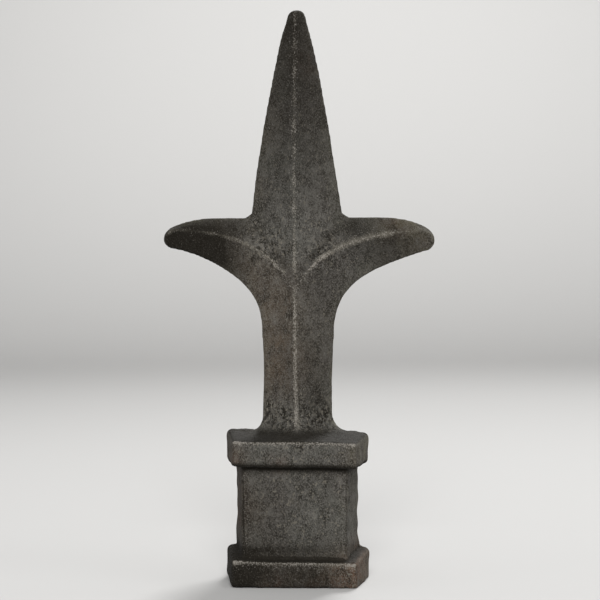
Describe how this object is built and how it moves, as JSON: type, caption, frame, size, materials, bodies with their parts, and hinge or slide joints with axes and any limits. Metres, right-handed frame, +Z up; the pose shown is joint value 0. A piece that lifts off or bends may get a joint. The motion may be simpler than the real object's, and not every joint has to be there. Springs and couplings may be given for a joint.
{
  "type": "railing spear finial",
  "caption": "Cast-iron spear finial: a flanged base with a blind square socket, a lozenge-section neck, spreading side leaves and a ridged pointed blade.",
  "frame": {"origin": "centre of the underside, at the mouth of the socket", "axes": "+Z up along the spear towards its point, X across the two leaves, -Y the front face; the mould parted on the plane Y = 0"},
  "size_m": [0.0808, 0.04, 0.17],
  "materials": {
    "cast_iron": "as-cast sand texture, dark grey with green-grey and brown patina, worn ridges and light rust on the edges"
  },
  "bodies": {
    "root": {"spear_finial": "cast_iron"}
  },
  "joints": []
}
